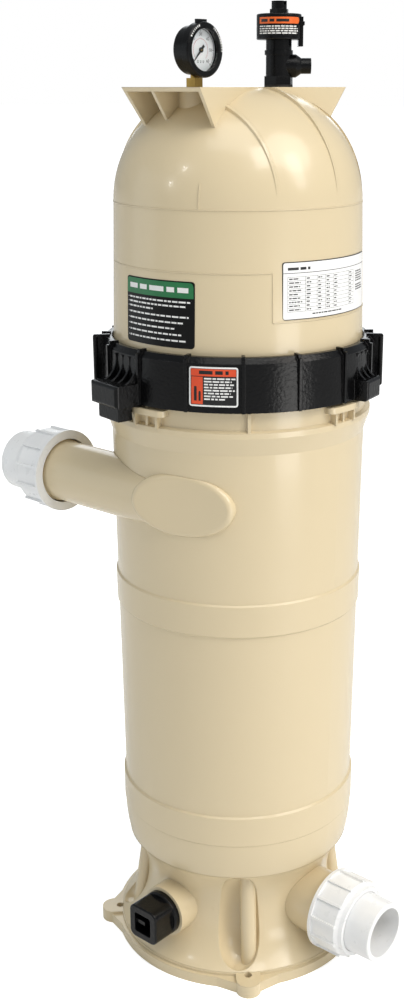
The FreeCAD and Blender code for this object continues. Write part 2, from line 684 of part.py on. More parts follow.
def ring_gussets(angle, width, count, block_top, reach):
    """Curved ribs that run from the top of a block up the ring wall."""
    made = []
    for i in range(count):
        y = width * (i / (count - 1) - 0.5)
        foot = V(reach, y, block_top - 1)
        top = V(RING_SHOULDER_R + 1.5, y, RING_TOP_Z - 8)
        middle = V(RING_SHOULDER_R + (reach - RING_SHOULDER_R) * 0.24, y, block_top + 7)
        root = V(RING_SHOULDER_R - 3, y, block_top - 1)
        head = V(RING_SHOULDER_R - 3, y, RING_TOP_Z - 8)
        edges = [Part.Arc(foot, middle, top).toShape(), Part.makeLine(top, head),
                 Part.makeLine(head, root),
                 Part.makeLine(root, foot)]
        rib = Part.Face(Part.Wire(edges)).extrude(V(0, 2.6, 0))
        made.append(turned(rib, angle))
    return made


def grip_fin(angle):
    """Radial fin to push the ring round by hand, with a thick outer edge."""
    fin = box((RING_LIP_R + 2.5, -2.0, RING_LOW_Z + 1), (GRIP_R, 2.0, GRIP_TOP_Z))
    corners = [e for e in fin.Edges if e.CenterOfMass.x > GRIP_R - 0.01 and abs(e.CenterOfMass.y) < 0.01]
    fin = fin.makeFillet(3.0, corners)
    edge = rounded_box((GRIP_R - 5, -4.0, RING_LOW_Z + 4), (GRIP_R - 0.5, 4.0, GRIP_TOP_Z - 3), 1.5)
    return turned(fin.fuse(edge), angle)


def locking_ring():
    wall = revolve([(RING_BORE_R, RING_LOW_Z), (RING_R, RING_LOW_Z), (RING_SHOULDER_R, RING_TOP_Z - 6),
                    (RING_SHOULDER_R - 5, RING_TOP_Z), (RING_LIP_R, RING_TOP_Z), (RING_LIP_R, RING_LIP_Z),
                    (RING_BORE_R, RING_LIP_Z)])
    ribs = []
    for i in range(RING_RIBS):
        rib = box((RING_BORE_R + 2, -1.8, RING_LOW_Z), (RING_R + 2.2, 1.8, RING_TOP_Z - 2))
        crest = box((RING_LIP_R + 1, -1.8, RING_TOP_Z - 3), (RING_R - 1, 1.8, RING_TOP_Z + 2.2))
        ribs.append(turned(rib.fuse(crest), RING_RIB_ANGLE + 360.0 / RING_RIBS * i))
    blocks = []
    for turn in (0.0, 180.0):
        blocks.append(block(RING_BORE_R + 2, LATCH_BLOCK_R, LATCH_BLOCK_W, LATCH_BLOCK_LOW_Z,
                            LATCH_BLOCK_TOP_Z, 4.0, LATCH_ANGLE + turn))
        blocks += ring_gussets(LATCH_ANGLE + turn, LATCH_BLOCK_W - 12, 4,
                               LATCH_BLOCK_TOP_Z, LATCH_BLOCK_R - 7)
        blocks.append(block(RING_BORE_R + 2, STOP_BLOCK_R, STOP_BLOCK_W, RING_LOW_Z - 0.8,
                            LATCH_BLOCK_TOP_Z - 1, 3.5, STOP_ANGLE + turn))
        blocks += ring_gussets(STOP_ANGLE + turn, STOP_BLOCK_W - 12, 3,
                               LATCH_BLOCK_TOP_Z - 1, STOP_BLOCK_R - 4)
    blocks += [grip_fin(angle) for angle in GRIP_ANGLES]
    body = wall.multiFuse(ribs + blocks)
    clear = cylinder(RING_BORE_R, V(0, 0, RING_LOW_Z - 10), V(0, 0, 1), RING_LIP_Z - RING_LOW_Z + 10)
    cavity = box((PAWL_R_IN - PAWL_CLEAR, -PAWL_W / 2 - PAWL_CLEAR, LATCH_BLOCK_LOW_Z - 1),
                 (PAWL_R_OUT + PAWL_CLEAR, PAWL_W / 2 + PAWL_CLEAR, PAWL_ROOF_Z))
    return body.cut(Part.makeCompound([clear, turned(cavity, LATCH_ANGLE)])).removeSplitter()


def ring_latch():
    """Sliding pawl with a blind pocket for its spring."""
    body = box((PAWL_R_IN, -PAWL_W / 2, PAWL_LOW_Z), (PAWL_R_OUT, PAWL_W / 2, PAWL_TOP_Z))
    low_edges = [e for e in body.Edges if e.CenterOfMass.z < PAWL_LOW_Z + 0.01]
    body = body.makeFillet(2.0, low_edges)
    middle = (PAWL_R_IN + PAWL_R_OUT) / 2
    body = body.cut(cylinder(3.6, V(middle, 0, PAWL_LOW_Z + 6), V(0, 0, 1), 30))
    return turned(body, LATCH_ANGLE)


def latch_spring():
    """Compression spring between the pawl's pocket and the roof of its cavity."""
    middle = (PAWL_R_IN + PAWL_R_OUT) / 2
    wire_r = 0.5
    low = PAWL_LOW_Z + 6 + wire_r
    high = PAWL_ROOF_Z - wire_r
    helix = Part.makeHelix((high - low) / 7, high - low, 2.6)
    start = helix.Edges[0].valueAt(helix.Edges[0].FirstParameter)
    tangent = helix.Edges[0].tangentAt(helix.Edges[0].FirstParameter)
    circle = Part.Wire(Part.Circle(start, tangent, wire_r).toShape())
    coil = Part.Wire(helix.Edges).makePipeShell([circle], True, True)
    coil.translate(V(middle, 0, low))
    return turned(coil, LATCH_ANGLE)


def ring_label():
    low_z = 721.0
    high_z = 763.0
    start = -68.6
    end = -49.4
    slope = (RING_R - RING_SHOULDER_R) / (RING_TOP_Z - 6 - RING_LOW_Z)
    low_r = RING_R - slope * (low_z - RING_LOW_Z)
    high_r = RING_R - slope * (high_z - RING_LOW_Z)
    wire = Part.makePolygon([V(low_r, 0, low_z), V(low_r + LABEL_T, 0, low_z),
                             V(high_r + LABEL_T, 0, high_z),
                             V(high_r, 0, high_z), V(low_r, 0, low_z)])
    shell = turned(Part.Face(wire).revolve(V(0, 0, 0), V(0, 0, 1), end - start), start)
    half = RING_R * math.sin(math.radians((end - start) / 2))
    window = rounded_box((-half, low_z, 0), (half, high_z, 200), 3.0)
    window.rotate(V(0, 0, 0), V(1, 0, 0), 90)
    return shell.common(turned(window, (start + end) / 2 + 90))


# ---- gauge ------------------------------------------------------------------
GAUGE_CENTRE = V(0, GAUGE_Y, GAUGE_Z)


def gauge_disc(radius, x_low, x_high):
    return cylinder(radius, GAUGE_CENTRE + V(x_low, 0, 0), V(1, 0, 0), x_high - x_low)


def gauge_stem():
    thread = cylinder(GAUGE_THREAD_R, V(0, GAUGE_Y, 1020), V(0, 0, 1), HANDLE_TOP_Z - 1020)
    square = box((-6, GAUGE_Y - 6, HANDLE_TOP_Z), (6, GAUGE_Y + 6, HANDLE_TOP_Z + 9))
    neck = cylinder(4.2, V(0, GAUGE_Y, HANDLE_TOP_Z + 9), V(0, 0, 1), 8)
    return fuse_all([thread, square, neck]).cut(cylinder(1.5, V(0, GAUGE_Y, 1019), V(0, 0, 1), 50))


def gauge_case():
    body = gauge_disc(GAUGE_R, GAUGE_BACK_X, GAUGE_FRONT_X)
    back_edge = [e for e in body.Edges if abs(e.CenterOfMass.x - GAUGE_BACK_X) < 0.01 and e.Closed]
    body = body.makeFillet(3.0, back_edge[:1])
    body = body.cut(gauge_disc(GAUGE_R - 2.2, GAUGE_BACK_X + 2.2, GAUGE_FRONT_X + 1))
    ledge = gauge_disc(GAUGE_R - 2, DIAL_X - 3, DIAL_X)
    ledge = ledge.cut(gauge_disc(GAUGE_R - 4.5, DIAL_X - 4, DIAL_X + 1))
    hole = cylinder(4.2, V(0, GAUGE_Y, GAUGE_Z - 40), V(0, 0, 1), 21)
    return body.fuse(ledge).cut(hole)


def bourdon_tube():
    """Curved pressure tube from the stem round the inside of the case."""
    radius = 15.0
    bent = Part.makeTorus(radius, 1.8, GAUGE_CENTRE, V(1, 0, 0), 0, 360, 260)
    bent.rotate(GAUGE_CENTRE, V(1, 0, 0), 180)
    socket = cylinder(2.6, V(0, GAUGE_Y, HANDLE_TOP_Z + 17), V(0, 0, 1), 5)
    return bent.fuse(socket)


def gauge_dial():
    return gauge_disc(GAUGE_R - 2.2, DIAL_X, DIAL_X + 0.8).cut(gauge_disc(1.6, DIAL_X - 1, DIAL_X + 2))


def needle_shaft():
    return gauge_disc(1.0, GAUGE_BACK_X + 8, DIAL_X + 2.6)


def gauge_needle():
    """Pointer at the low end of the scale, on a round hub."""
    hub = gauge_disc(2.6, DIAL_X + 1.2, DIAL_X + 2.6).cut(gauge_disc(1.05, DIAL_X, DIAL_X + 3))
    outline = [V(0, -1.1, 0), V(0, -1.5, -6), V(0, 1.5, -6), V(0, 1.1, 0), V(0, 0.3, 16), V(0, -0.3, 16)]
    blade = Part.Face(Part.makePolygon(outline + [outline[0]])).extrude(V(0.6, 0, 0))
    blade.translate(GAUGE_CENTRE + V(DIAL_X + 1.6, 0, 0))
    blade.rotate(GAUGE_CENTRE, V(1, 0, 0), 135)
    return hub.fuse(blade.cut(gauge_disc(1.05, DIAL_X, DIAL_X + 3)))


def gauge_lens():
    return gauge_disc(GAUGE_R - 2.2, GAUGE_FRONT_X - 1.6, GAUGE_FRONT_X)


def gauge_bezel():
    """Turning index ring with a raised tab."""
    ring = gauge_disc(BEZEL_R, GAUGE_FRONT_X - 6, GAUGE_FRONT_X + 3.4)
    front = [e for e in ring.Edges if e.Closed and e.CenterOfMass.x > GAUGE_FRONT_X + 3]
    ring = ring.makeFillet(2.0, front[:1])
    tab = box((GAUGE_FRONT_X - 5, GAUGE_Y - 7, GAUGE_Z + 24.6),
              (GAUGE_FRONT_X - 1, GAUGE_Y + 7, GAUGE_Z + 30))
    ring = ring.fuse(tab).cut(gauge_disc(BEZEL_BORE_R, GAUGE_FRONT_X - 10, GAUGE_FRONT_X + 0.4))
    return ring.cut(gauge_disc(GAUGE_R - 3.4, GAUGE_FRONT_X - 10, GAUGE_FRONT_X + 5))


# ---- air relief valve -------------------------------------------------------
def valve_disc(radius, low_z, high_z):
    return cylinder(radius, V(0, VALVE_Y, low_z), V(0, 0, 1), high_z - low_z)


def valve_hexagon(radius, z):
    """Hexagonal face round the valve's axis."""
    centre = V(0, VALVE_Y, z)
    return Part.Face(Part.makePolygon([centre + polar(radius, 60.0 * i, 0) for i in range(7)]))


def valve_body():
    """Body with a threaded foot, a hexagon and a side spigot."""
    parts = [valve_disc(VALVE_THREAD_R, 1012, HANDLE_TOP_Z + 3),
             valve_disc(VALVE_R, HANDLE_TOP_Z + 2.6, VALVE_TOP_Z)]
    parts.append(valve_hexagon(17.0, HANDLE_TOP_Z + 2.6).extrude(V(0, 0, 9)))
    parts.append(valve_disc(VALVE_R + 1.5, VALVE_TOP_Z - 16, VALVE_TOP_Z - 11))
    spigot = lathe_x([(0, 0), (0, 12.5), (19, 12.5), (23, SPIGOT_R + 1.5), (25, SPIGOT_R),
                      (SPIGOT_REACH, SPIGOT_R), (SPIGOT_REACH, 0)],
                     V(0, VALVE_Y, SPIGOT_Z), polar(1, SPIGOT_ANGLE, 0))
    parts.append(spigot)
    body = fuse_all(parts)
    side = cylinder(5.5, V(0, VALVE_Y, SPIGOT_Z), polar(1, SPIGOT_ANGLE, 0), SPIGOT_REACH + 1)
    bores = [valve_disc(VALVE_BORE_R, SEAT_Z, VALVE_TOP_Z + 1), valve_disc(5.0, 1010, SEAT_Z + 2), side]
    return body.cut(Part.makeCompound(bores))


def valve_seal():
    return valve_disc(VALVE_R + 1.6, HANDLE_TOP_Z, HANDLE_TOP_Z + 2.6).cut(
        valve_disc(VALVE_THREAD_R, HANDLE_TOP_Z - 1, HANDLE_TOP_Z + 3))


def valve_stem():
    """Piston and rod that lift off the seat when the knob turns."""
    rod = valve_disc(4.0, SEAT_Z + 1.4, ROD_TOP_Z)
    plug = valve_disc(8.0, SEAT_Z + 1.4, SEAT_Z + 8)
    piston = valve_disc(8.95, PISTON_Z, PISTON_Z + 8)
    side_groove = valve_disc(12, PISTON_Z + 2.5, PISTON_Z + 5.1)
    side_groove = side_groove.cut(valve_disc(6.4, PISTON_Z, PISTON_Z + 8))
    face_groove = valve_disc(7.8, SEAT_Z, SEAT_Z + 3.2).cut(valve_disc(5.2, SEAT_Z, SEAT_Z + 4))
    return fuse_all([rod, plug, piston]).cut(side_groove).cut(face_groove)


def valve_orings():
    side = ring_seal(V(0, VALVE_Y, PISTON_Z + 3.8), V(0, 0, 1), 7.68, 1.24)
    face = ring_seal(V(0, VALVE_Y, SEAT_Z + 1.9), V(0, 0, 1), 6.5, 1.24)
    return Part.makeCompound([side, face])


def valve_cap():
    """Drum on top of the body with a clip block on one side."""
    drum = valve_disc(DRUM_R, VALVE_TOP_Z, DRUM_TOP_Z)
    drum = drum.makeFillet(1.5, [e for e in drum.Edges if e.Closed])
    clip = box((DRUM_R - 4, -8, VALVE_TOP_Z - 7), (DRUM_R + 1.5, 8, DRUM_TOP_Z - 3))
    lip = box((DRUM_R - 4, -10, DRUM_TOP_Z - 12), (DRUM_R + 2.8, 10, DRUM_TOP_Z - 8))
    side = turned(clip.fuse(lip), SPIGOT_ANGLE)
    side.translate(V(0, VALVE_Y, 0))
    hollow = valve_disc(DRUM_R - 3, VALVE_TOP_Z + 3, DRUM_TOP_Z - 4)
    return drum.fuse(side).cut(hollow.cut(valve_disc(9, VALVE_TOP_Z, DRUM_TOP_Z))).cut(
        valve_disc(4.3, VALVE_TOP_Z - 1, DRUM_TOP_Z + 1))


def valve_label():
    shell = valve_disc(DRUM_R + 0.3, VALVE_TOP_Z + 3, DRUM_TOP_Z - 3).cut(
        valve_disc(DRUM_R, VALVE_TOP_Z, DRUM_TOP_Z))
    wedge = sector(0, 60, VALVE_TOP_Z, DRUM_TOP_Z, -110, 10)
    wedge.translate(V(0, VALVE_Y, 0))
    return shell.common(wedge)


def valve_knob():
    """Knob on a hexagon collar with a notch across its top."""
    collar = valve_hexagon(11.0, DRUM_TOP_Z + 0.5).extrude(V(0, 0, 4.5))
    body = fuse_all([collar, valve_disc(8.5, DRUM_TOP_Z + 4, KNOB_TOP_Z)])
    body = body.cut(box((-10, VALVE_Y - 2, KNOB_TOP_Z - 4), (10, VALVE_Y + 2, KNOB_TOP_Z + 1)))
    return body.cut(valve_disc(4.06, DRUM_TOP_Z, ROD_TOP_Z + 0.3))


# ---- unions -----------------------------------------------------------------
def union_nut(port_end, axis, nut_r, bore_r, tail_r):
    """Ribbed nut: thread clearance bore, then a lip that holds the tail's flange."""
    back = port_end - axis * 32.0
    lip_r = tail_r + 0.4
    profile = [(0, bore_r), (0, nut_r - 1), (2, nut_r), (NUT_L - 9, nut_r), (NUT_L - 5, nut_r - 3.2),
               (NUT_L, nut_r - 4.3), (NUT_L, lip_r), (NUT_L - 6, lip_r), (NUT_L - 6, bore_r)]
    body = lathe_x(profile, back, axis)
    ribs = []
    rib_r = nut_r + NUT_RIB_RISE
    for i in range(NUT_RIBS):
        rib = box((nut_r - 2, -1.7, 1.5), (rib_r, 1.7, NUT_L - 8))
        rib.rotate(V(0, 0, 0), V(0, 0, 1), 360.0 / NUT_RIBS * i + 15)
        rib.Placement = FreeCAD.Placement(back, FreeCAD.Rotation(V(0, 0, 1), axis)).multiply(rib.Placement)
        ribs.append(rib)
    rim = lathe_x([(0, nut_r - 1), (0, rib_r + 0.4), (4, rib_r + 0.4), (4, nut_r - 1)], back, axis)
    return body.multiFuse(ribs + [rim]).removeSplitter()


def union_tail(port_end, axis, bore_r, tail_r):
    """Flanged tail with a solvent-weld socket in its outer end."""
    start = port_end + axis * SEAL_GAP
    end = TAIL_L - SEAL_GAP
    flange_r = bore_r - 0.6
    profile = [(0, PORT_BORE_R - 2), (0, flange_r), (TAIL_FLANGE_T, flange_r), (TAIL_FLANGE_T, tail_r),
               (end - 1, tail_r - 0.5), (end, tail_r - 1.5), (end, SOCKET_R), (end - SOCKET_L, SOCKET_R),
               (end - SOCKET_L, PORT_BORE_R - 2)]
    body = lathe_x(profile, start, axis)
    seal_r = bore_r - SEAL_INSET
    low_r, high_r = seal_r - 2.3, seal_r + 2.3
    return body.cut(lathe_x([(-1, low_r), (-1, high_r), (3.6, high_r), (3.6, low_r)], start, axis))


def union_seal(port_end, axis, bore_r):
    return ring_seal(port_end + axis * (SEAL_GAP + 3.6 - 2.0), axis, bore_r - SEAL_INSET, 1.98)


def drain_plug():
    """Plug with a flange, a rounded square head and a recess across its end."""
    start = V(0, DRAIN_FACE_Y, DRAIN_Z)
    axis = V(0, -1, 0)
    profile = [(-26, 0), (-26, DRAIN_BORE_R - 1.2), (0.4, DRAIN_BORE_R - 0.4), (0.4, 0)]
    shank = lathe_x(profile, start, axis)
    flange = lathe_x([(0.4, 0), (0.4, 27.6), (6, 27.6), (8, 26), (8, 0)], start, axis)
    head = rounded_box((-22, -22, 0), (22, 22, 30), 9.0)
    head = head.makeFillet(2.0, [e for e in head.Edges if e.CenterOfMass.z > 29.9])
    recess = rounded_box((-13, -13, 12), (13, 13, 31), 3.0).cut(box((-14, -2.5, 10), (1, 2.5, 27)))
    head = head.cut(recess)
    head.Placement = FreeCAD.Placement(start + axis * 7.0, FreeCAD.Rotation(V(0, 0, 1), axis))
    body = shank.multiFuse([flange, head]).removeSplitter()
    groove = lathe_x([(0, 21.2), (0, 26.2), (3.4, 26.2), (3.4, 21.2)], start, axis)
    return body.cut(groove)


def drain_oring():
    return ring_seal(V(0, DRAIN_FACE_Y - 1.95, DRAIN_Z), V(0, 1, 0), 23.7, 1.4)


# ---- build ------------------------------------------------------------------
os.makedirs("parts", exist_ok=True)
OUTLET_END = V(OUTLET_PORT_X, 0, OUTLET_Z)
INLET_END = V(INLET_PORT_X, INLET_Y, INLET_Z)
UP = V(0, 0, 1)

export("lower_tank", lower_tank())
export("outlet_elbow", outlet_elbow())
export("inlet_fitting", inlet_fitting())
export("outlet_standpipe", standpipe())
export("standpipe_oring", ring_seal(V(0, 0, CART_LOW_Z + 10.3), UP, HUB_R - 4.1, 2.25))
export("cartridge_bottom_cap", end_cap(CART_LOW_Z, HUB_R - 1, "below"))
export("cartridge_top_cap", end_cap(CART_TOP_Z - CART_CAP_T, 8.0, "above"))
export("cartridge_core", cartridge_core())
export("cartridge_media", cartridge_media())
export("cartridge_bands", cartridge_bands())
export("air_bleed_tube", air_bleed_tube())
export("bleed_strainer", bleed_strainer())
export("tank_oring", ring_seal(V(0, 0, COLLAR_TOP_Z - 2.55), UP, COLLAR_R - 4, 2.65))
export("lid", lid())
export("lid_label_left", wall_label(778.0, 848.0, -107.0, -68.0, 4.0))
export("lid_label_right", wall_label(808.0, 868.0, -30.5, 28.0, 3.0))
export("locking_ring", locking_ring())
export("ring_label", ring_label())
export("ring_latch", ring_latch())
export("latch_spring", latch_spring())
export("gauge_stem", gauge_stem())
export("gauge_case", gauge_case())
export("bourdon_tube", bourdon_tube())
export("gauge_dial", gauge_dial())
export("needle_shaft", needle_shaft())
export("gauge_needle", gauge_needle())
export("gauge_lens", gauge_lens())
export("gauge_bezel", gauge_bezel())
export("valve_body", valve_body())
export("valve_seal", valve_seal())
export("valve_stem", valve_stem())
export("valve_orings", valve_orings())
export("valve_cap", valve_cap())
export("valve_label", valve_label())
export("valve_knob", valve_knob())
unions = (("outlet", OUTLET_END, V(1, 0, 0), NUT_R, NUT_BORE_R, TAIL_R),
          ("inlet", INLET_END, V(-1, 0, 0), INLET_NUT_R, INLET_NUT_BORE_R, INLET_TAIL_R))
for side, end, axis, nut_r, bore_r, tail_r in unions:
    export(side + "_nut", union_nut(end, axis, nut_r, bore_r, tail_r))
    export(side + "_tail", union_tail(end, axis, bore_r, tail_r))
    export(side + "_oring", union_seal(end, axis, bore_r))
export("drain_plug", drain_plug())
export("drain_oring", drain_oring())
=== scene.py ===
"""Cartridge filter for a pool: the visual model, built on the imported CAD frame."""
import math
import random

import bpy
from mathutils import Matrix, Vector


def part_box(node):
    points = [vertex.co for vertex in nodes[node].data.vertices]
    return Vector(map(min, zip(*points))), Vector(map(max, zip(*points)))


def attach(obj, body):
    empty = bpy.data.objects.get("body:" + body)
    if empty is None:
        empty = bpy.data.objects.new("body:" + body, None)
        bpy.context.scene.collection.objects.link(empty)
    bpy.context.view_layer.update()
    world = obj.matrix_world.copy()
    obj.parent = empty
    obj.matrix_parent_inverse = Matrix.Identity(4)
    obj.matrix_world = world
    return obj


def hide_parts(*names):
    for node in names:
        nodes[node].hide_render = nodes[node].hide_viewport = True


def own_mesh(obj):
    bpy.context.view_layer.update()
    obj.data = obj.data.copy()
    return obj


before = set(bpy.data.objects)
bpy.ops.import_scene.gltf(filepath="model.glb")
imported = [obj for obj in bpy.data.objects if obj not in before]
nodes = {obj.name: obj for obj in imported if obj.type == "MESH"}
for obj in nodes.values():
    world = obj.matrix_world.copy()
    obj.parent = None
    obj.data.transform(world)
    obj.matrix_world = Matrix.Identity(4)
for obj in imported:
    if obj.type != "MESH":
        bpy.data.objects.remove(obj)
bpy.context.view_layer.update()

rng = random.Random(7)


# ---------------------------------------------------------------- camera, lights, stage

CAMERA_PLACE = (0.9618, -1.1262, 1.040)
CAMERA_PITCH = 17.61           # degrees below the horizontal
CAMERA_LENS = 46.84            # mm, on a sensor 36 mm wide
CAMERA_SHIFT = -0.036
SENSOR_WIDTH = 36.0

SUN_PLACE = (2.0, 0.6, 2.15)   # the sun shines from here towards the origin
SUN_SIZE = 38                  # degrees across, so its shadows are soft
SUN_ENERGY = 1.34
SUN_COLOUR = (1.0, 0.95, 0.885)
WHITE = (1.0, 1.0, 1.0)
WARM = (1.0, 0.98, 0.95)
COOL = (0.95, 0.98, 1.0)

# name, place, point it faces, width and height, watts, colour
AREA_LIGHTS = (
    ("window_right", (1.25, -0.55, 2.35), (0, 0, 0.95), (0.42, 0.75), 7, WARM),
    ("window_far", (1.75, 0.30, 1.9), (0, 0, 0.95), (0.35, 1.1), 6, WARM),
    ("panel_low", (1.60, -0.17, 0.42), (0, 0, 0.75), (0.6, 0.5), 4, WARM),
    ("accent_left", (-0.45, -1.9, 2.1), (0, 0, 0.95), (0.14, 0.20), 1.6, WHITE),
    ("accent_low", (-0.75, -1.8, 1.5), (0, 0, 0.9), (0.10, 0.14), 1.2, WHITE),
    ("fill_left", (-1.9, -1.5, 1.0), (0, 0, 0.6), (1.3, 1.6), 3.5, (0.86, 0.95, 1.0)),
    ("top_panel", (0.35, -0.7, 3.1), (0, 0, 0.6), (1.4, 1.4), 13, (1.0, 0.98, 0.94)),
    ("back_fill", (-1.6, 1.9, 1.8), (0, 0, 0.6), (1.6, 1.6), 16, COOL),
)

FLOOR_HALF = 60.0              # metres from the middle to each edge
FLOOR_GLOW = 0.6               # lifts the floor to white where the camera sees it directly
SKY_COLOUR = (0.90, 0.955, 1.0, 1.0)
SKY_STRENGTH = 0.38


def aim(obj, place, target):
    """Puts an object at a place with its -Z axis pointing at a target."""
    obj.location = place
    obj.rotation_euler = (Vector(target) - Vector(place)).to_track_quat("-Z", "Y").to_euler()


def make_camera():
    """Camera that looks slightly down on the drain and outlet sides, aimed near the axis."""
    camera = bpy.data.objects.new("camera", bpy.data.cameras.new("camera"))
    bpy.context.scene.collection.objects.link(camera)
    camera.data.lens = CAMERA_LENS
    camera.data.sensor_width = SENSOR_WIDTH
    camera.data.shift_x = CAMERA_SHIFT
    camera.data.clip_start = 0.02
    reach = math.hypot(CAMERA_PLACE[0], CAMERA_PLACE[1])
    drop = reach * math.tan(math.radians(CAMERA_PITCH))
    aim(camera, CAMERA_PLACE, (0.0, 0.0, CAMERA_PLACE[2] - drop))
    bpy.context.scene.camera = camera


def area_light(name, place, target, size, power, colour):
    """Rectangular soft light."""
    lamp = bpy.data.lights.new(name, "AREA")
    lamp.shape = "RECTANGLE"
    lamp.size, lamp.size_y = size
    lamp.energy = power
    lamp.color = colour
    obj = bpy.data.objects.new(name, lamp)
    bpy.context.scene.collection.objects.link(obj)
    aim(obj, place, target)


def make_lights():
    """Wide soft sun from the right, window-like panels for the gloss and a cool fill."""
    sun = bpy.data.lights.new("sun_key", "SUN")
    sun.energy = SUN_ENERGY
    sun.angle = math.radians(SUN_SIZE)
    sun.color = SUN_COLOUR
    key = bpy.data.objects.new("sun_key", sun)
    bpy.context.scene.collection.objects.link(key)
    aim(key, SUN_PLACE, (0, 0, 0))
    for spec in AREA_LIGHTS:
        area_light(*spec)


# ---------------------------------------------------------------- materials

def srgb(code):
    """Linear colour of a hexadecimal sRGB code."""
    parts = [int(code[i:i + 2], 16) / 255 for i in (0, 2, 4)]
    return [c / 12.92 if c <= 0.04045 else ((c + 0.055) / 1.055) ** 2.4 for c in parts] + [1.0]


def add(tree, kind, inputs=(), **settings):
    """Adds a shader node; inputs are (socket, value or output socket) pairs."""
    node = tree.nodes.new(kind)
    for key, value in settings.items():
        setattr(node, key, value)
    for socket, value in inputs:
        if isinstance(value, bpy.types.NodeSocket):
            tree.links.new(value, node.inputs[socket])
        else:
            node.inputs[socket].default_value = value
    return node


def noise(tree, scale, detail):
    """Noise in the object's own coordinates."""
    place = add(tree, "ShaderNodeTexCoord").outputs["Object"]
    return add(tree, "ShaderNodeTexNoise",
               [("Vector", place), ("Scale", scale), ("Detail", detail)]).outputs[0]


def ramp(tree, factor, stops):
    """Colour ramp with two (position, colour) stops."""
    node = add(tree, "ShaderNodeValToRGB", [("Fac", factor)])
    for element, (position, colour) in zip(node.color_ramp.elements, stops):
        element.position = position
        element.color = colour
    return node.outputs[0]


def spread(tree, factor, low, high):
    """Maps a noise value to the range from low to high."""
    return add(tree, "ShaderNodeMapRange",
               [("Value", factor), ("From Min", 0.2), ("From Max", 0.8),
                ("To Min", low), ("To Max", high)]).outputs[0]


def plastic(name, light, dark, gloss, patch, grain, depth, strength, soften=0.0, **sockets):
    """Moulded surface: cloudy colour, uneven gloss, a fine skin texture and softened edges.

    light and dark are the two sRGB colours, gloss the range of roughness, patch and grain the
    scales of the clouds and the skin, depth the height of the skin in metres, strength that of
    its bump, and soften the radius of the edges in metres.
    """
    material = bpy.data.materials.new(name)
    material.use_nodes = True
    tree = material.node_tree
    shader = tree.nodes["Principled BSDF"]
    for socket, value in sockets.items():
        shader.inputs[socket.replace("_", " ")].default_value = value
    colour = ramp(tree, noise(tree, patch, 4.0), [(0.25, srgb(dark)), (0.75, srgb(light))])
    tree.links.new(colour, shader.inputs["Base Color"])
    tree.links.new(spread(tree, noise(tree, patch * 3.1, 3.0), *gloss), shader.inputs["Roughness"])
    bump = add(tree, "ShaderNodeBump", [("Strength", strength), ("Distance", depth),
                                        ("Height", noise(tree, grain, 2.0))])
    if soften:
        edge = add(tree, "ShaderNodeBevel", [("Radius", soften)], samples=4)
        tree.links.new(edge.outputs[0], bump.inputs["Normal"])
    tree.links.new(bump.outputs[0], shader.inputs["Normal"])
    return material


def make_materials():
    """One finished material for each material slot of the record."""
    label_skin = {"gloss": (0.28, 0.36), "patch": 40.0, "grain": 1200, "depth": 0.00002,
                  "strength": 0.2}
    dial_skin = {"patch": 90.0, "grain": 1800, "depth": 0.00001, "strength": 0.2}
    dyed_skin = {"gloss": (0.35, 0.5), "patch": 18.0, "grain": 700, "depth": 0.00006,
                 "strength": 0.4}
    return {
        "cream_plastic": plastic(
            "cream_moulding", "d8c7a4", "d6c5a2", gloss=(0.255, 0.275), patch=3.0, grain=70,
            depth=0.00006, strength=0.10, soften=0.0014, Coat_Weight=0.25, Coat_Roughness=0.08),
        "black_plastic": plastic(
            "ring_black", "0a0a0b", "060607", gloss=(0.17, 0.27), patch=60.0, grain=300,
            depth=0.0006, strength=0.55, soften=0.0012, Specular_IOR_Level=0.24),
        "valve_black": plastic(
            "fitting_black", "0b0b0c", "070708", gloss=(0.2, 0.3), patch=60.0, grain=1100,
            depth=0.00005, strength=0.3, soften=0.0005, Specular_IOR_Level=0.22),
        "white_pvc": plastic(
            "pvc_white", "f4f4f3", "ecedee", gloss=(0.24, 0.36), patch=26.0, grain=700,
            depth=0.00005, strength=0.3, soften=0.0007),
        "seal_rubber": plastic(
            "rubber", "1c1c1c", "121212", gloss=(0.55, 0.7), patch=60.0, grain=1500,
            depth=0.00008, strength=0.5),
        "brass": plastic(
            "brass", "b99a55", "8f7440", gloss=(0.28, 0.42), patch=60.0, grain=900,
            depth=0.00004, strength=0.4, Metallic=1.0),
        "steel_wire": plastic(
            "steel", "c9cbce", "a9acb0", gloss=(0.22, 0.34), patch=80.0, grain=900,
            depth=0.00003, strength=0.3, Metallic=1.0),
        "filter_media": plastic(
            "pleated_fabric", "f1f2ee", "e2e5e2", gloss=(0.75, 0.9), patch=30.0, grain=1700,
            depth=0.0003, strength=0.8, Sheen_Weight=0.3),
        "cartridge_plastic": plastic("end_cap_blue", "3a6ea5", "2f5f94", **dyed_skin),
        "media_strap": plastic(
            "strap", "e7e8e6", "d5d8d6", gloss=(0.5, 0.65), patch=30.0, grain=900,
            depth=0.0001, strength=0.5),
        "grey_plastic": plastic("pipe_grey", "9a9c9d", "86898b", **dyed_skin),
        "dial_white": plastic("dial_white", "f6f7f6", "eef0f1", gloss=(0.35, 0.45), **dial_skin),
        "needle_black": plastic("needle_black", "101010", "1a1a1a", gloss=(0.3, 0.4), **dial_skin),
        "label_safety": plastic(
            "label_black", "0c0c0c", "080808", **label_skin, Specular_IOR_Level=0.2),
        "label_data": plastic("label_line", "1b1b1d", "111112", **label_skin),
        "label_ring": plastic("label_white", "f5f5f3", "eeeeec", **label_skin),
        "label_valve": plastic(
            "label_valve", "0c0c0c", "080808", **label_skin, Specular_IOR_Level=0.2),
        "clear_lens": plastic(
            "lens_clear", "ffffff", "fbfdff", gloss=(0.02, 0.05), patch=30.0, grain=900,
            depth=0.00001, strength=0.1, Transmission_Weight=1.0, IOR=1.2),
    }


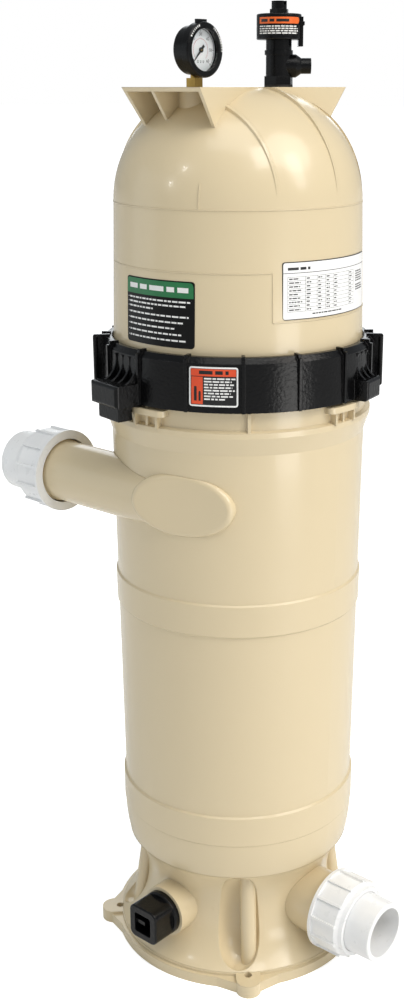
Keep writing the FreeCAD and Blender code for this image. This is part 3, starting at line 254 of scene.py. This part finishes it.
INK_COLOURS = {
    "white": ("f2f2f0", "e6e6e4"), "paper": ("f6f6f5", "efefee"), "rule": ("55585c", "46494d"),
    "text": ("202123", "151617"), "black": ("151516", "0e0e0f"), "green": ("1f7a46", "1a6a3c"),
    "orange": ("e2532b", "d44822"), "amber": ("f0702a", "e0611e"),
    "scale_red": ("b8352c", "a52d25"),
}
made_inks = {}


def ink(name):
    """Printing ink, made once for each colour."""
    if name not in made_inks:
        made_inks[name] = plastic("ink_" + name, *INK_COLOURS[name], gloss=(0.3, 0.4), patch=60.0,
                                  grain=1500, depth=0.00001, strength=0.2)
    return made_inks[name]


def dress_nodes():
    """Gives each CAD node the finished material of its slot."""
    for obj in nodes.values():
        for slot in obj.material_slots:
            slot.material = finishes[slot.material.name.split(".")[0]]


# ---------------------------------------------------------------- meshes

def mesh_piece(name, verts, faces, materials, indices, body, smooth=False):
    """Makes a piece from vertices and faces, each face with a material index."""
    mesh = bpy.data.meshes.new(name)
    mesh.from_pydata(verts, [], faces)
    for material in materials:
        mesh.materials.append(material)
    mesh.polygons.foreach_set("material_index", indices)
    mesh.polygons.foreach_set("use_smooth", [smooth] * len(faces))
    mesh.update()
    obj = bpy.data.objects.new(name, mesh)
    bpy.context.scene.collection.objects.link(obj)
    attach(obj, body)
    return obj


PATCH_STEP = 0.0012            # metres between the columns of points of a patch
CORNER_STEPS = 5
INK_LIFT = 0.00006             # metres between two layers of ink


class Wall:
    """Upright round wall that a label is stuck to, read from the label's own node."""

    def __init__(self, node, centre=(0.0, 0.0)):
        """Measures the label's heights, radii and angles about the wall's axis."""
        self.centre = centre
        points = [v.co for v in nodes[node].data.vertices]
        self.low, self.high = min(p.z for p in points), max(p.z for p in points)
        third = (self.high - self.low) / 3
        self.low_r = max(self.radius_of(p) for p in points if p.z < self.low + third)
        self.high_r = max(self.radius_of(p) for p in points if p.z > self.high - third)
        angles = [math.atan2(p.y - centre[1], p.x - centre[0]) for p in points]
        self.start, self.end = min(angles), max(angles)

    def radius_of(self, point):
        """Distance of a point from the wall's axis."""
        return math.hypot(point.x - self.centre[0], point.y - self.centre[1])

    def at(self, angle, z, lift):
        """Point on the wall, raised by lift."""
        share = (z - self.low) / (self.high - self.low)
        r = self.low_r + (self.high_r - self.low_r) * share + lift
        return (self.centre[0] + r * math.cos(angle), self.centre[1] + r * math.sin(angle), z)


class Print:
    """Flat ink patches that lie on a round wall, collected into one piece."""

    def __init__(self, wall):
        """Starts an empty page as large as the label on the wall."""
        self.wall = wall
        self.verts, self.faces, self.indices, self.materials = [], [], [], []
        self.width = (wall.end - wall.start) * wall.low_r
        self.height = wall.high - wall.low

    def patch(self, material, left, right, bottom, top, layer, top_round=0.0, low_round=0.0,
              left_round=True):
        """Patch in metres from the label's lower left corner, with rounded corners."""
        if material not in self.materials:
            self.materials.append(material)
        index = self.materials.index(material)
        count = max(2, int((right - left) / PATCH_STEP))
        radius = max(top_round, low_round)
        edges = [radius * t / CORNER_STEPS for t in range(CORNER_STEPS + 1)] if radius else [0.0]
        spots = sorted({left + e for e in edges} | {right - e for e in edges}
                       | {left + (right - left) * i / count for i in range(count + 1)})
        start = len(self.verts)
        for x in spots:
            near = min(x - left if left_round else 1.0, right - x)
            z_top = top - self.drop(near, top_round)
            z_low = bottom + self.drop(near, low_round)
            angle = self.wall.start + x / self.wall.low_r
            for z in (z_low, z_top):
                self.verts.append(self.wall.at(angle, self.wall.low + z, INK_LIFT * layer))
        for i in range(len(spots) - 1):
            a = start + 2 * i
            self.faces.append((a, a + 2, a + 3, a + 1))
            self.indices.append(index)

    @staticmethod
    def drop(near, radius):
        """How far a rounded corner falls below the edge at a distance from its end."""
        if near >= radius:
            return 0.0
        return radius - math.sqrt(max(0.0, radius ** 2 - (radius - near) ** 2))

    def words(self, material, left, right, z, height, layer, short=0.0):
        """A line of word-like bars, which ends early by the share in short."""
        x = left
        end = right - short * (right - left)
        while x < end:
            length = min(rng.uniform(1.6, 5.0) * height, end - x)
            self.patch(material, x, x + length, z, z + height, layer)
            x += length + 0.75 * height

    def finish(self, name, body):
        """Makes the piece."""
        return mesh_piece(name, self.verts, self.faces, self.materials, self.indices, body)


# ---------------------------------------------------------------- labels

def label_left():
    """Black label with a green head band and lines of word-like bars."""
    page = Print(Wall("lid_label_left"))
    w, h = page.width, page.height
    border, corner = 0.0012, 0.0045
    page.patch(ink("green"), border, w - border, h - 0.0175, h - border, 1, top_round=corner)
    page.words(ink("white"), 0.007, w - 0.007, h - 0.0118, 0.0052, 2)
    paragraphs = ((0.0, 0.05, 0.55), (0.02,), (0.1,), (0.22,), (0.12,), (0.05,))
    z = h - 0.0225
    for lines in paragraphs:
        for short in lines:
            page.patch(ink("white"), 0.0035, 0.0046, z + 0.0003, z + 0.0014, 2)
            page.words(ink("white"), 0.0065, w - 0.005, z, 0.00175, 2, short)
            z -= 0.0047
        z -= 0.0016
    page.finish("label_left_print", "lid")


def label_right():
    """White label with a fine border, a head line and a ruled table of small bars."""
    page = Print(Wall("lid_label_right"))
    black, grey = ink("text"), ink("rule")
    w, h = page.width, page.height
    border, corner, half_rule = 0.0009, 0.0022, 0.00014
    page.patch(ink("paper"), border, w - border, border, h - border, 1, top_round=corner,
               low_round=corner)
    page.words(black, 0.006, 0.033, h - 0.0085, 0.0028, 2)
    page.patch(black, 0.001, w - 0.001, h - 0.0118, h - 0.0112, 2)
    left, right, low, high = 0.006, w * 0.74, 0.0085, h - 0.0155
    columns = [left, left + 0.021, left + 0.036, left + 0.048, left + 0.06, right - 0.012, right]
    rows = [low + (high - low) * i / 9 for i in range(10)]
    for x in columns:
        page.patch(grey, x - half_rule, x + half_rule, low, high, 2)
    for z in rows:
        page.patch(grey, left, right, z - half_rule, z + half_rule, 2)
    for z0, z1 in zip(rows, rows[1:]):
        for x0, x1 in zip(columns, columns[1:]):
            span = min(x1 - x0 - 0.003, 0.016 if x0 == left else 0.006)
            page.words(black, x0 + 0.0015, x0 + 0.0015 + span, (z0 + z1) / 2 - 0.0006, 0.0012, 3,
                       rng.uniform(0.0, 0.4))
    for z in (0.041, 0.0385, 0.036, 0.0335, 0.031, 0.0265, 0.024, 0.0215):
        page.words(black, w * 0.78, w - 0.005, z, 0.0013, 2, rng.uniform(0.0, 0.3))
    page.words(black, left + 0.03, left + 0.075, 0.0045, 0.0013, 2)
    page.finish("label_right_print", "lid")


def label_ring():
    """White-edged label with an orange head band and panel beside word-like bars."""
    page = Print(Wall("ring_label"))
    orange, black = ink("orange"), ink("black")
    w, h = page.width, page.height
    edge, gap = 0.0017, 0.0004
    page.patch(black, edge, w - edge, edge, h - edge, 1, top_round=0.0013, low_round=0.0013)
    page.patch(orange, edge + gap, w - edge - gap, h - 0.0097, h - edge - gap, 2, top_round=0.001)
    page.words(black, 0.011, w - 0.010, h - 0.0077, 0.0038, 3)
    page.patch(orange, edge + 2 * gap, edge + 0.0134, edge + 2 * gap, h - 0.0104, 2)
    for x0, x1, z1 in ((0.0055, 0.0085, 0.0215), (0.0105, 0.0128, 0.0165)):
        page.patch(black, x0, x1, 0.006, z1, 3, top_round=0.0011)
    z = h - 0.0130
    for short in (0.0, 0.12, 0.05, 0.1, 0.02, 0.15, 0.08, 0.3):
        page.words(ink("white"), edge + 0.0148, w - edge - 0.0012, z, 0.0016, 2, short)
        z -= 0.0031
    page.finish("ring_label_print", "ring")


def label_valve():
    """Orange band with a rounded end above rows of small bars."""
    low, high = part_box("valve_cap")
    barrel = ((low.x + high.x) / 2 - 0.0008, (low.y + high.y) / 2 - 0.0004)
    page = Print(Wall("valve_label", barrel))
    w, h = page.width, page.height
    page.patch(ink("amber"), 0.0008, w - 0.0015, h - 0.0078, h - 0.0010, 1, top_round=0.003,
               low_round=0.003, left_round=False)
    page.words(ink("black"), 0.004, w * 0.72, h - 0.0060, 0.0030, 2)
    for z in (0.0098, 0.0074, 0.0050, 0.0026):
        page.words(ink("white"), 0.0012, w - 0.0025, z, 0.0013, 1, rng.uniform(0.0, 0.12))
    page.finish("valve_label_print", "lid")


# ---------------------------------------------------------------- gauge

ZERO_ANGLE = 225.0             # degrees of the scale's zero
SWEEP = 270.0
PRINT_LIFT = 0.00005


def dial_point(angle, r, lift):
    """Point on the dial face; the angle turns anticlockwise from the dial's right."""
    low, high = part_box("gauge_dial")
    a = math.radians(angle)
    return (high.x + lift, (low.y + high.y) / 2 + r * math.cos(a),
            (low.z + high.z) / 2 + r * math.sin(a))


def dial_print():
    """Scale of ticks, arcs and numbers on the dial."""
    low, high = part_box("gauge_dial")
    radius = (high.z - low.z) / 2
    materials = [ink("text"), ink("rule"), ink("scale_red")]
    dark, grey, red = range(3)
    verts, faces, indices = [], [], []

    def arc(start_angle, end_angle, r0, r1, index):
        """Band between two radii, in shares of the dial's radius."""
        start = len(verts)
        steps = max(1, int(abs(end_angle - start_angle) / 4))
        for i in range(steps + 1):
            a = start_angle + (end_angle - start_angle) * i / steps
            verts.extend([dial_point(a, radius * r, PRINT_LIFT) for r in (r0, r1)])
        for i in range(steps):
            b = start + 2 * i
            faces.append((b, b + 2, b + 3, b + 1))
            indices.append(index)

    def tick(angle, half_width, r0, r1, index):
        """Mark across the scale, with half its width in metres."""
        half = math.degrees(half_width / radius)
        arc(angle - half, angle + half, r0, r1, index)

    for i in range(61):
        major = i % 10 == 0
        inner = 0.80 if major else 0.86 if i % 5 == 0 else 0.885
        tick(ZERO_ANGLE - SWEEP * i / 60, 0.00022 if major else 0.0001, inner, 0.93, dark)
    for i in range(42):
        tick(ZERO_ANGLE - SWEEP * i / 41, 0.00009, 0.50, 0.56 if i % 5 else 0.59, red)
    arc(ZERO_ANGLE, ZERO_ANGLE - SWEEP, 0.925, 0.945, dark)
    arc(ZERO_ANGLE, ZERO_ANGLE - SWEEP, 0.49, 0.503, red)
    bar_height = 0.0007
    _, centre_y, centre_z = dial_point(0, 0, 0)
    for y in (-0.0042, 0.0, 0.0042):
        for z, length in ((-0.0112, 0.0026), (-0.0127, 0.0018)):
            start = len(verts)
            for dy, dz in ((-length / 2, 0), (length / 2, 0), (length / 2, bar_height),
                           (-length / 2, bar_height)):
                verts.append((high.x + PRINT_LIFT, centre_y + y + dy, centre_z + z + dz))
            faces.append(tuple(range(start, start + 4)))
            indices.append(grey)
    mesh_piece("dial_scale", verts, faces, materials, indices, "lid")
    number_pieces(radius, materials[dark])


def number_pieces(radius, material):
    """Numbers of the dial scale, joined into one mesh."""
    facing_out = Matrix(((0, 0, 1), (1, 0, 0), (0, 1, 0))).to_4x4()
    verts, faces = [], []
    for k in range(7):
        curve = bpy.data.curves.new("number", "FONT")
        curve.body = str(10 * k)
        curve.size = radius * 0.2
        curve.align_x = curve.align_y = "CENTER"
        obj = bpy.data.objects.new("number", curve)
        bpy.context.scene.collection.objects.link(obj)
        place = Vector(dial_point(ZERO_ANGLE - SWEEP * k / 6, radius * 0.69, 0.00006))
        obj.matrix_world = Matrix.Translation(place) @ facing_out
        bpy.context.view_layer.update()
        shaped = obj.evaluated_get(bpy.context.evaluated_depsgraph_get())
        mesh = bpy.data.meshes.new_from_object(shaped)
        mesh.transform(obj.matrix_world)
        start = len(verts)
        verts += [tuple(v.co) for v in mesh.vertices]
        faces += [tuple(start + i for i in p.vertices) for p in mesh.polygons]
        bpy.data.objects.remove(obj)
    mesh_piece("dial_numbers", verts, faces, [material], [0] * len(faces), "lid")


def bezel_marks():
    """White ticks on the turning index ring, in place of printed words."""
    low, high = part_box("gauge_bezel")
    outer = (high.y - low.y) / 2
    _, centre_y, centre_z = dial_point(0, 0, 0)
    verts, faces = [], []
    for span in (range(112, 150, 6), range(-2, 62, 6)):
        for degrees in span:
            half = rng.uniform(1.0, 2.0)
            start = len(verts)
            for a in (degrees - half, degrees + half):
                for r in (outer * 0.875, outer * 0.945):
                    angle = math.radians(a)
                    verts.append((high.x + PRINT_LIFT, centre_y + r * math.cos(angle),
                                  centre_z + r * math.sin(angle)))
            faces.append((start, start + 2, start + 3, start + 1))
    mesh_piece("index_ring_marks", verts, faces, [ink("white")], [0] * len(faces), "bezel")


# ---------------------------------------------------------------- threads

THREAD_PITCH = 0.006
THREAD_LENGTH = 0.0275
THREAD_HEIGHT = 0.0010
THREAD_SETBACK = 0.0286        # from the end of the port to the start of its thread
# port, direction it points in along X, radius at the root of its thread
THREADED_PORTS = (("outlet", 1.0, 0.0403), ("inlet", -1.0, 0.0370))
TURN_STEPS = 72


def thread(name, start, towards, root_r):
    """Helical ridge along X with a trapezoid section that fades out at both ends."""
    axis = Vector((towards, 0, 0))
    side = axis.orthogonal().normalized()
    other = axis.cross(side)
    turns = THREAD_LENGTH / THREAD_PITCH - 1.0
    steps = int(turns * TURN_STEPS)
    foot_r = root_r - 0.0004
    verts, faces = [], []
    for i in range(steps + 1):
        share = i / steps
        angle = 2 * math.pi * turns * share
        fade = min(1.0, 9.0 * min(share, 1.0 - share) + 0.02)
        out = side * math.cos(angle) + other * math.sin(angle)
        middle = Vector(start) + axis * (THREAD_PITCH * (0.5 + turns * share))
        crest_r = root_r + THREAD_HEIGHT * fade
        for along, r in ((-0.42, foot_r), (-0.11, crest_r), (0.11, crest_r), (0.42, foot_r)):
            verts.append(middle + axis * (along * THREAD_PITCH) + out * r)
    for i in range(steps):
        for k in range(4):
            a, b = 4 * i + k, 4 * i + (k + 1) % 4
            faces.append((a, b, b + 4, a + 4))
    last = 4 * steps
    faces += [(3, 2, 1, 0), (last, last + 1, last + 2, last + 3)]
    mesh_piece(name, verts, faces, [finishes["cream_plastic"]], [0] * len(faces), "tank")


def port_threads():
    """Male threads that show when a union nut is backed off."""
    for side, towards, root_r in THREADED_PORTS:
        tail_low, tail_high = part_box(side + "_tail")
        nut_low, nut_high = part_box(side + "_nut")
        face = tail_low.x if towards > 0 else tail_high.x
        start = (face - towards * THREAD_SETBACK, (nut_low.y + nut_high.y) / 2,
                 (nut_low.z + nut_high.z) / 2)
        thread(side + "_port_thread", start, towards, root_r)


# ---------------------------------------------------------------- latch

COIL_TURNS = 7
COIL_STEPS = 24                # points round each turn
WIRE_SIDES = 8
WIRE_R = 0.0005
COIL_R = 0.0026


def latch_coil():
    """Steel coil that rides on the ring, in place of the CAD coil."""
    low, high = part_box("latch_spring")
    middle_x, middle_y = (low.x + high.x) / 2, (low.y + high.y) / 2
    climb = high.z - low.z - 2 * WIRE_R
    spans = COIL_TURNS * COIL_STEPS
    verts, faces = [], []
    for i in range(spans + 1):
        angle = 2 * math.pi * i / COIL_STEPS
        for k in range(WIRE_SIDES):
            around = 2 * math.pi * k / WIRE_SIDES
            r = COIL_R + WIRE_R * math.cos(around)
            z = low.z + WIRE_R + climb * i / spans + WIRE_R * math.sin(around)
            verts.append((middle_x + r * math.cos(angle), middle_y + r * math.sin(angle), z))
    for i in range(spans):
        for k in range(WIRE_SIDES):
            a, b = WIRE_SIDES * i + k, WIRE_SIDES * i + (k + 1) % WIRE_SIDES
            faces.append((a, a + WIRE_SIDES, b + WIRE_SIDES, b))
    last = WIRE_SIDES * spans
    faces += [tuple(range(WIRE_SIDES)), tuple(reversed(range(last, last + WIRE_SIDES)))]
    coil = mesh_piece("latch_coil", verts, faces, [finishes["steel_wire"]], [0] * len(faces),
                      "ring", smooth=True)
    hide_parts("latch_spring")
    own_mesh(coil)


# ---------------------------------------------------------------- cartridge

PLEATS = 120
PLEAT_ROWS = 36
PLEAT_DEPTH = 0.036
MEDIA_CLEARANCE = 0.0008       # from the cartridge's outer edge to the tips of the pleats
END_CLEARANCE = 0.0004
# turn along half a pleat, and the share of the pleat's depth there
FOLD = ((0.0, 1.0), (0.06, 0.985), (0.16, 0.93), (0.5, 0.46), (0.84, 0.035), (0.94, 0.0))


def pleat_ring():
    """Points round one row of pleats: pleat number, turn in pleats, share of the depth."""
    ring = []
    for i in range(PLEATS):
        ring += [(i, i + turn / 2, lift) for turn, lift in FOLD]
        ring += [(i, i + 0.5 + (turn + 0.06) / 2, lift)
                 for (turn, _), (_, lift) in zip(FOLD, reversed(FOLD))]
    return ring


def pleated_media():
    """Folded fabric with rounded folds that wander slightly, as one closed wall."""
    low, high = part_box("cartridge_media")
    _, core_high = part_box("cartridge_core")
    tip_r = high.x - MEDIA_CLEARANCE
    valley_r = tip_r - PLEAT_DEPTH
    inner_r = core_high.x + 0.001
    phases = [rng.uniform(0, 2 * math.pi) for _ in range(PLEATS)]
    ring = pleat_ring()
    count = len(ring)
    bottom_z, height = low.z + END_CLEARANCE, high.z - low.z - 2 * END_CLEARANCE
    verts, faces = [], []
    for row in range(PLEAT_ROWS + 1):
        z = bottom_z + height * row / PLEAT_ROWS
        for i, turn, lift in ring:
            sway = 0.0011 * math.sin(phases[i] + 17.0 * z)
            sway += 0.0006 * math.sin(3 * phases[i] + 41.0 * z)
            dip = 0.0007 * (1 - math.cos(phases[i] + 9.0 * z))
            angle = 2 * math.pi * turn / PLEATS + sway * lift / tip_r
            r = valley_r + (PLEAT_DEPTH - dip) * lift
            verts.append((r * math.cos(angle), r * math.sin(angle), z))
    for row in range(PLEAT_ROWS):
        for i in range(count):
            a, b = row * count + i, row * count + (i + 1) % count
            faces.append((a, b, b + count, a + count))
    top_row = PLEAT_ROWS * count
    bottom = len(verts)
    top = bottom + count
    for z in (bottom_z, bottom_z + height):
        for _, turn, _ in ring:
            angle = 2 * math.pi * turn / PLEATS
            verts.append((inner_r * math.cos(angle), inner_r * math.sin(angle), z))
    for i in range(count):
        j = (i + 1) % count
        faces.append((i, bottom + i, bottom + j, j))
        faces.append((top_row + i, top_row + j, top + j, top + i))
        faces.append((bottom + i, top + i, top + j, bottom + j))
    media = mesh_piece("media_pleats", verts, faces, [finishes["filter_media"]], [0] * len(faces),
                       "tank", smooth=True)
    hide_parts("cartridge_media")


# ---------------------------------------------------------------- stage

def make_floor():
    """Pale floor that looks white where the camera sees it directly."""
    corners = [(FLOOR_HALF * x, FLOOR_HALF * y, 0) for x, y in ((-1, -1), (1, -1), (1, 1), (-1, 1))]
    mesh = bpy.data.meshes.new("floor")
    mesh.from_pydata(corners, [], [(0, 1, 2, 3)])
    pale = plastic("floor_white", "fdfdfd", "f8f8f8", gloss=(0.6, 0.7), patch=2.0, grain=60,
                   depth=0.0001, strength=0.1, Emission_Color=(FLOOR_GLOW,) * 3 + (1.0,))
    tree = pale.node_tree
    ray = add(tree, "ShaderNodeLightPath")
    tree.links.new(ray.outputs["Is Camera Ray"],
                   tree.nodes["Principled BSDF"].inputs["Emission Strength"])
    mesh.materials.append(pale)
    floor = bpy.data.objects.new("floor", mesh)
    bpy.context.scene.collection.objects.link(floor)


def make_world():
    """White backdrop, with a dimmer and cooler sky as light."""
    world = bpy.data.worlds.new("studio")
    world.use_nodes = True
    tree = world.node_tree
    backdrop = tree.nodes["Background"]
    backdrop.inputs["Color"].default_value = (1.0, 1.0, 1.0, 1.0)
    sky = add(tree, "ShaderNodeBackground", [("Color", SKY_COLOUR), ("Strength", SKY_STRENGTH)])
    ray = add(tree, "ShaderNodeLightPath")
    mix = add(tree, "ShaderNodeMixShader", [(0, ray.outputs["Is Camera Ray"]),
                                            (1, sky.outputs[0]), (2, backdrop.outputs[0])])
    tree.links.new(mix.outputs[0], tree.nodes["World Output"].inputs["Surface"])
    bpy.context.scene.world = world
    bpy.context.scene.view_settings.view_transform = "Standard"


make_camera()
make_lights()
finishes = make_materials()
dress_nodes()
label_left()
label_right()
label_ring()
label_valve()
dial_print()
bezel_marks()
pleated_media()
port_threads()
latch_coil()
make_floor()
make_world()
